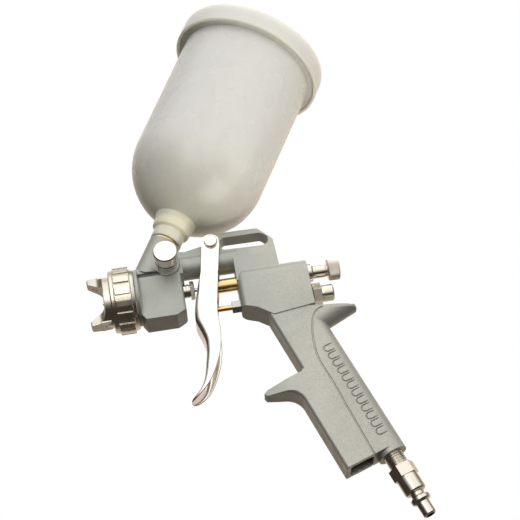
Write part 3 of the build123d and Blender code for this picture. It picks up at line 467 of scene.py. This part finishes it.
def ring_cap(first):
    """The end of the channel as quads between the outside and the inside of its section."""
    h = (n_ring + 2) // 2  # points on the +Y half, both middles included
    n_out = 18 + 3
    faces_ = []
    a, b = 0, h - 1
    while b - a > 1:
        faces_.append((first + a, first + a + 1, first + b - 1, first + b))
        ma, mb = (n_ring - a) % n_ring, (n_ring - b) % n_ring
        na, nb = (n_ring - a - 1) % n_ring, (n_ring - b + 1) % n_ring
        faces_.append((first + ma, first + mb, first + nb, first + na))
        a, b = a + 1, b - 1
    return faces_


t_faces += ring_cap(0) + ring_cap((len(rings) - 1) * n_ring)
trigger_piece = mesh_object("trigger_pressing", t_verts, t_faces, bright)


def plate_piece(y0, y1):
    """One side plate above the finger web, with its round head about the pivot."""
    out = [(62.95, 6.2), (62.95, 7.2), (64.6, 17.0), (66.2, 26.6)]
    cx, cz, r = 72.0, 27.6, 5.75
    for k in range(25):
        a = math.radians(176.0 - 172.0 * k / 24)
        out.append((cx + r * math.cos(a), cz + r * math.sin(a)))
    out += [(77.2, 24.4), (75.6, 15.8), (74.05, 7.2), (73.9, 6.2)]
    b = bmesh.new()
    lo = [b.verts.new((x * MM, y0 * MM, z * MM)) for x, z in out]
    hi = [b.verts.new((x * MM, y1 * MM, z * MM)) for x, z in out]
    n = len(out)
    b.faces.new(lo)
    b.faces.new(list(reversed(hi)))
    for i in range(n):
        b.faces.new((lo[i], hi[i], hi[(i + 1) % n], lo[(i + 1) % n]))
    rims = [e for e in b.edges if abs(e.verts[0].co.y - e.verts[1].co.y) < 1e-9
            and min(e.verts[0].co.z, e.verts[1].co.z) > 6.6 * MM]
    bmesh.ops.bevel(b, geom=rims, offset=0.28 * MM, segments=2, profile=0.5, affect="EDGES")
    bmesh.ops.recalc_face_normals(b, faces=b.faces)
    mesh = bpy.data.meshes.new("plate")
    b.to_mesh(mesh)
    b.free()
    mesh.materials.append(bright)
    o = bpy.data.objects.new("plate", mesh)
    scene.collection.objects.link(o)
    return o


solid_boolean(trigger_piece, [plate_piece(-10.1, -8.7), plate_piece(8.7, 10.1)], "UNION")
slot_pts = []
for k in range(24):
    a = 2 * math.pi * k / 24
    slot_pts.append((2.2 * math.cos(a), 1.1 + (1.5 if math.sin(a) > 0 else -1.5) + 2.2 * math.sin(a)))
sv = [(54.0, y, z) for y, z in slot_pts] + [(65.0, y, z) for y, z in slot_pts]
sf = [tuple(range(24)), tuple(range(47, 23, -1))] + [(i, (i + 1) % 24, 24 + (i + 1) % 24, 24 + i) for i in range(24)]
cutter = mesh_object("slot_cutter", sv, sf, bright)
solid_boolean(trigger_piece, [cutter], "DIFFERENCE")
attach(trigger_piece, "trigger_lever")
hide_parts("trigger")


def soften(profile, r):
    """A turned profile with its corners rounded a little."""
    out = [profile[0]]
    for a, b, c in zip(profile, profile[1:], profile[2:]):
        la = math.dist(a, b)
        lc = math.dist(b, c)
        k = min(r, la * 0.45, lc * 0.45)
        p = (b[0] + (a[0] - b[0]) * k / la, b[1] + (a[1] - b[1]) * k / la)
        q = (b[0] + (c[0] - b[0]) * k / lc, b[1] + (c[1] - b[1]) * k / lc)
        for t in (0.0, 0.33, 0.67, 1.0):
            out.append(((1 - t) ** 2 * p[0] + 2 * t * (1 - t) * b[0] + t * t * q[0],
                        (1 - t) ** 2 * p[1] + 2 * t * (1 - t) * b[1] + t * t * q[1]))
    out.append(profile[-1])
    return out


def turned(name, axis_point, axis_dir, profile, segs, mat, change=None, step=None, rounding=0.25):
    """A turned piece about an axis; change(s, angle, r) cuts knurls or threads into it."""
    z = Vector(axis_dir).normalized()
    x = Vector((0, 1, 0)) if abs(z.y) < 0.9 else Vector((0, 0, 1))
    x = (x - z * x.dot(z)).normalized()
    y = z.cross(x)
    pts = soften(profile, rounding)
    if step:
        fine = [pts[0]]
        for a, b in zip(pts, pts[1:]):
            n = max(1, int(abs(b[0] - a[0]) / step))
            fine += [(a[0] + (b[0] - a[0]) * k / n, a[1] + (b[1] - a[1]) * k / n) for k in range(1, n + 1)]
        pts = fine
    verts, faces, loops = [], [], []
    origin = Vector(axis_point)
    for s, r in pts:
        if r < 1e-6:
            verts.append(tuple(origin + z * s))
            loops.append([len(verts) - 1] * segs)
            continue
        row = []
        for j in range(segs):
            a = 2 * math.pi * j / segs
            rr = change(s, a, r) if change else r
            verts.append(tuple(origin + z * s + x * rr * math.cos(a) + y * rr * math.sin(a)))
            row.append(len(verts) - 1)
        loops.append(row)
    for p, q in zip(loops, loops[1:]):
        for j in range(segs):
            k = (j + 1) % segs
            f = [p[j], p[k], q[k], q[j]]
            f = [v for i, v in enumerate(f) if v != f[i - 1]]
            if len(f) > 2:
                faces.append(tuple(f))
    return mesh_object(name, verts, faces, mat, 32.0)


def slanted_knurl(s, a, r):
    if r < 5.2 or s < 142.6:
        return r
    fade = min(1.0, max(0.0, (s - 142.9) / 0.6), max(0.0, (149.9 - s) / 0.6)) if r > 6.0 else 0.0
    ph = (a * 30 / (2 * math.pi) + (s - 143.0) * 0.26) % 1.0
    ridge = abs(2 * ph - 1)
    return r - 0.48 * fade * max(0.0, 1 - ridge * 1.5)


knob = turned("fluid_knob_knurled", (0, 0, 0), (1, 0, 0),
              [(116.4, 0), (116.4, 2.85), (116.9, 3.35), (133.3, 3.35), (133.3, 4.25), (141.2, 4.25), (141.5, 3.9),
               (142.4, 3.9), (142.6, 4.6), (142.65, 6.2), (143.3, 6.88), (149.5, 6.88), (150.15, 6.2), (150.15, 4.4),
               (149.85, 4.1), (149.8, 0)], 240, nickel_x, slanted_knurl, 0.35, 0.18)
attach(knob, "fluid_control")
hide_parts("fluid_knob")

# the two coil springs, as steel copies of their own meshes hung on the gun body
for node, fixed_x, travel in (("needle_spring", 0.1131, 0.0048), ("air_valve_spring", 0.1216, 0.00768)):
    coil = bpy.data.objects.new(node + "_coil", nodes[node].data.copy())
    coil.data.materials.clear()
    coil.data.materials.append(steel_x)
    scene.collection.objects.link(coil)
    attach(coil, "gun")
    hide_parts(node)
    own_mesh(coil)

# ---------------------------------------------------------------------------
# stage: pale floor well below, soft light
# ---------------------------------------------------------------------------
fm = Mat("floor_paper")
fm.link(fm.mix(fm.noise(3.0, 2.0), (0.80, 0.80, 0.79), (0.84, 0.84, 0.83)), fm.b.inputs["Base Color"])
fm.setv(Roughness=0.9)
me = bpy.data.meshes.new("floor")
bm = bmesh.new()
bmesh.ops.create_grid(bm, x_segments=8, y_segments=8, size=12.0)
bm.to_mesh(me)
bm.free()
floor = bpy.data.objects.new("floor", me)
floor.location = (0, 0, -1.35)
me.materials.append(fm.m)
scene.collection.objects.link(floor)
floor.visible_diffuse = False
floor.visible_glossy = False

CUP_LOW, CUP_RIGHT = 8.5, 3.6
TENT_MAIN, TENT_TOP, TENT_BACK, TENT_RIGHT, TENT_LOW, TENT_BASE = 1.42, 0.55, 0.8, 0.20, 0.03, 0.03
world = bpy.data.worlds.new("studio")
scene.world = world
world.use_nodes = True
wt = world.node_tree
wt.nodes.clear()
wo = wt.nodes.new("ShaderNodeOutputWorld")
bg = wt.nodes.new("ShaderNodeBackground")
bg.inputs["Strength"].default_value = 1.0
geo_w = wt.nodes.new("ShaderNodeTexCoord")


def toward(direction, lo, hi, v_lo, v_hi):
    """How bright the tent is by the angle to a direction in the room."""
    d = wt.nodes.new("ShaderNodeVectorMath")
    d.operation = "DOT_PRODUCT"
    wt.links.new(geo_w.outputs["Generated"], d.inputs[0])
    d.inputs[1].default_value = tuple(Vector(direction).normalized())
    r = wt.nodes.new("ShaderNodeMapRange")
    r.interpolation_type = "SMOOTHSTEP"
    for i, v in zip(("From Min", "From Max", "To Min", "To Max"), (lo, hi, v_lo, v_hi)):
        r.inputs[i].default_value = v
    wt.links.new(d.outputs["Value"], r.inputs["Value"])
    return r.outputs["Result"]


def join(op, p, q):
    m = wt.nodes.new("ShaderNodeMath")
    m.operation = op
    for i, v in enumerate((p, q)):
        if isinstance(v, (int, float)):
            m.inputs[i].default_value = v
        else:
            wt.links.new(v, m.inputs[i])
    return m.outputs[0]


main = toward((0.12, -0.85, 0.52), 0.25, 0.95, 0.0, TENT_MAIN)
above = toward((-0.10, 0.05, 1.0), 0.30, 0.95, 0.0, TENT_TOP)
behind = toward((0.25, 0.95, 0.15), 0.30, 1.0, 0.0, TENT_BACK)
strip = toward((0.98, -0.15, -0.05), 0.80, 0.97, 0.0, TENT_RIGHT)
low = toward((-0.35, -0.10, -1.0), 0.25, 0.9, 0.0, TENT_LOW)
total = join("ADD", join("ADD", join("ADD", main, above), join("ADD", behind, strip)), join("ADD", low, TENT_BASE))
tone = wt.nodes.new("ShaderNodeMix")
tone.data_type = "RGBA"
tone.inputs[6].default_value = (1.0, 0.86, 0.72, 1.0)
tone.inputs[7].default_value = (1.0, 0.985, 0.955, 1.0)
wt.links.new(toward((0.0, -0.7, 0.7), -0.3, 0.6, 0.0, 1.0), tone.inputs[0])
wt.links.new(tone.outputs[2], bg.inputs["Color"])
wt.links.new(total, bg.inputs["Strength"])
bw = wt.nodes.new("ShaderNodeBackground")
bw.inputs["Color"].default_value = (1.0, 1.0, 1.0, 1.0)
bw.inputs["Strength"].default_value = 1.0
lp = wt.nodes.new("ShaderNodeLightPath")
mx = wt.nodes.new("ShaderNodeMixShader")
wt.links.new(lp.outputs["Is Camera Ray"], mx.inputs[0])
wt.links.new(bg.outputs[0], mx.inputs[1])
wt.links.new(bw.outputs[0], mx.inputs[2])
wt.links.new(mx.outputs[0], wo.inputs[0])


def area(name, at, aim, size, power, colour=(1, 1, 1), size_y=None):
    d = bpy.data.lights.new(name, "AREA")
    d.energy = power
    d.color = colour
    d.size = size
    if size_y:
        d.shape = "RECTANGLE"
        d.size_y = size_y
    o = bpy.data.objects.new(name, d)
    o.location = at
    o.rotation_mode = "QUATERNION"
    o.rotation_quaternion = (Vector(aim) - Vector(at)).to_track_quat("-Z", "Y")
    scene.collection.objects.link(o)
    return o


def view_dir(x, y, z, r):
    """A place at distance r, x to the right, y up and z toward the camera as the gun is seen."""
    d = (cam_x * x + cam_y * y + back * z).normalized()
    return target + d * r


def card(name, at, aim, w, h, grey):
    """A dark flag beside the gun, for its metal to reflect."""
    m = Mat("flag_" + name)
    m.link(m.mix(m.noise(6.0, 2.0), tuple(grey), tuple(0.9 * c for c in grey)), m.b.inputs["Base Color"])
    m.setv(Roughness=0.95)
    mesh = bpy.data.meshes.new(name)
    b = bmesh.new()
    bmesh.ops.create_grid(b, x_segments=2, y_segments=2, size=0.5)
    bmesh.ops.scale(b, vec=(w, h, 1), verts=b.verts)
    b.to_mesh(mesh)
    b.free()
    mesh.materials.append(m.m)
    o = bpy.data.objects.new(name, mesh)
    o.location = at
    o.rotation_mode = "QUATERNION"
    o.rotation_quaternion = (Vector(aim) - Vector(at)).to_track_quat("Z", "Y")
    scene.collection.objects.link(o)
    o.visible_camera = False
    return o


area("key_soft", view_dir(-0.30, 0.55, 1.0, 1.25), target, 0.42, 2.1, (1.0, 0.985, 0.96), 1.1)
area("back_top", view_dir(0.2, 0.7, -1.0, 1.4), target, 1.0, 5.0)
glow = bpy.data.collections.new("translucent_parts")
scene.collection.children.link(glow)
for name in ("cup", "cup_lid"):
    glow.objects.link(nodes[name])
for name, at, power in (("cup_through_low", view_dir(0.55, -0.75, 0.75, 1.1), CUP_LOW), ("cup_through_right", view_dir(1.0, 0.1, 0.35, 1.2), CUP_RIGHT)):
    lit = area(name, at, Vector((0.085, 0.0, 0.115)), 0.9, power, (1.0, 0.965, 0.86))
    lit.light_linking.receiver_collection = glow
card("flag_low", view_dir(-0.15, -1.0, 0.1, 1.2), target, 1.8, 0.9, (0.05, 0.042, 0.035))
card("flag_left", view_dir(-1.0, -0.30, 0.12, 0.75), target, 0.55, 0.9, (0.07, 0.06, 0.05))
